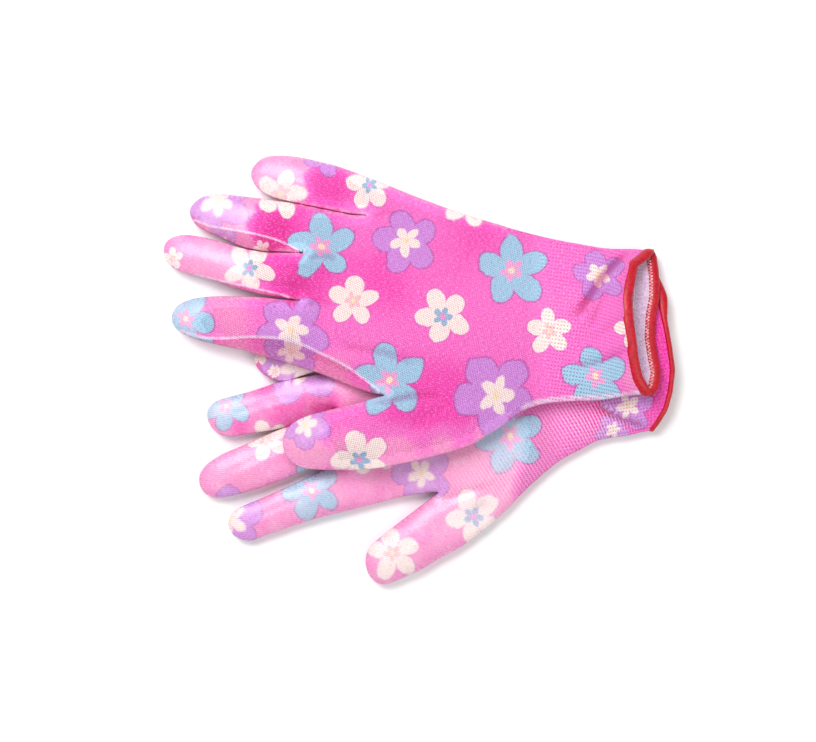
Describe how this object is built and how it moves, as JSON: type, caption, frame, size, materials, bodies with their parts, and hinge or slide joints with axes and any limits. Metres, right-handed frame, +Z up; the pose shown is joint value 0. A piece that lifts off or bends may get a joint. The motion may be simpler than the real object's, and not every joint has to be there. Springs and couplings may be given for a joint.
{
  "type": "gardening gloves",
  "caption": "Pair of knitted gardening gloves with dipped palms and fingertips and ribbed, bound cuffs, lying one across the other.",
  "frame": {"origin": "middle of the footprint of the pair, on the ground", "axes": "+Z up; +X from the fingers towards the cuffs, along the longest side; +Y across, from the thumbs towards the little fingers of the upper glove"},
  "size_m": [0.2366, 0.1974, 0.0263],
  "materials": {
    "knit": "fine jersey knit, printed with flowers",
    "rib_knit": "rib knit, printed with flowers",
    "film": "thin milky polyurethane dip",
    "binding": "red overlocked edge",
    "elastic": "covered elastic yarn",
    "thread": "overlock thread"
  },
  "bodies": {
    "left_hand": {"left_hand_liner": "knit", "left_palm_coating": "film", "left_rib_cuff": "rib_knit", "left_cuff_binding": "binding", "left_elastic_yarns": "elastic", "left_overlock_seam": "thread"},
    "left_little": {"left_little_liner": "knit", "left_little_coating": "film"},
    "left_ring": {"left_ring_liner": "knit", "left_ring_coating": "film"},
    "left_middle": {"left_middle_liner": "knit", "left_middle_coating": "film"},
    "left_index": {"left_index_liner": "knit", "left_index_coating": "film"},
    "left_thumb": {"left_thumb_liner": "knit", "left_thumb_coating": "film"},
    "right_hand": {"right_hand_liner": "knit", "right_palm_coating": "film", "right_rib_cuff": "rib_knit", "right_cuff_binding": "binding", "right_elastic_yarns": "elastic", "right_overlock_seam": "thread"},
    "right_little": {"right_little_liner": "knit", "right_little_coating": "film"},
    "right_ring": {"right_ring_liner": "knit", "right_ring_coating": "film"},
    "right_middle": {"right_middle_liner": "knit", "right_middle_coating": "film"},
    "right_index": {"right_index_liner": "knit", "right_index_coating": "film"},
    "right_thumb": {"right_thumb_liner": "knit", "right_thumb_coating": "film"}
  },
  "joints": [
    {"name": "right_glove_lift", "type": "slide", "parent": "left_hand", "child": "right_hand", "axis": [0, 0, 1], "range_m": [0, 0.12]},
    {"name": "left_little_swing", "type": "hinge", "parent": "left_hand", "child": "left_little", "pos_m": [-0.03609, 0.0145, 0.00438], "axis": [0, 0, 1], "range_deg": [-4, 3]},
    {"name": "left_ring_bend", "type": "hinge", "parent": "left_hand", "child": "left_ring", "pos_m": [-0.06351, -0.01525, 0.0091], "axis": [-0.2065, 0.9784, 0], "range_deg": [0, 70]},
    {"name": "left_middle_bend", "type": "hinge", "parent": "left_hand", "child": "left_middle", "pos_m": [-0.06448, -0.04067, 0.00925], "axis": [-0.3014, 0.9535, 0], "range_deg": [0, 70]},
    {"name": "left_index_bend", "type": "hinge", "parent": "left_hand", "child": "left_index", "pos_m": [-0.04388, -0.05795, 0.0091], "axis": [-0.2908, 0.9568, 0], "range_deg": [0, 70]},
    {"name": "left_thumb_bend", "type": "hinge", "parent": "left_hand", "child": "left_thumb", "pos_m": [0.01095, -0.07175, 0.01], "axis": [-0.5464, 0.8375, 0], "range_deg": [0, 70]},
    {"name": "right_little_bend", "type": "hinge", "parent": "right_hand", "child": "right_little", "pos_m": [-0.03927, 0.0836, 0.01178], "axis": [0.1769, 0.9842, 0], "range_deg": [0, 70]},
    {"name": "right_ring_bend", "type": "hinge", "parent": "right_hand", "child": "right_ring", "pos_m": [-0.06219, 0.06557, 0.0131], "axis": [0.1629, 0.9866, 0], "range_deg": [0, 70]},
    {"name": "right_middle_bend", "type": "hinge", "parent": "right_hand", "child": "right_middle", "pos_m": [-0.06368, 0.04466, 0.01533], "axis": [0.1751, 0.9846, 0], "range_deg": [0, 70]},
    {"name": "right_index_bend", "type": "hinge", "parent": "right_hand", "child": "right_index", "pos_m": [-0.06353, 0.01768, 0.01938], "axis": [0.1053, 0.9944, 0], "range_deg": [0, 70]},
    {"name": "right_thumb_bend", "type": "hinge", "parent": "right_hand", "child": "right_thumb", "pos_m": [-0.02186, -0.02889, 0.02474], "axis": [-0.1623, 0.9867, 0], "range_deg": [0, 70]}
  ]
}
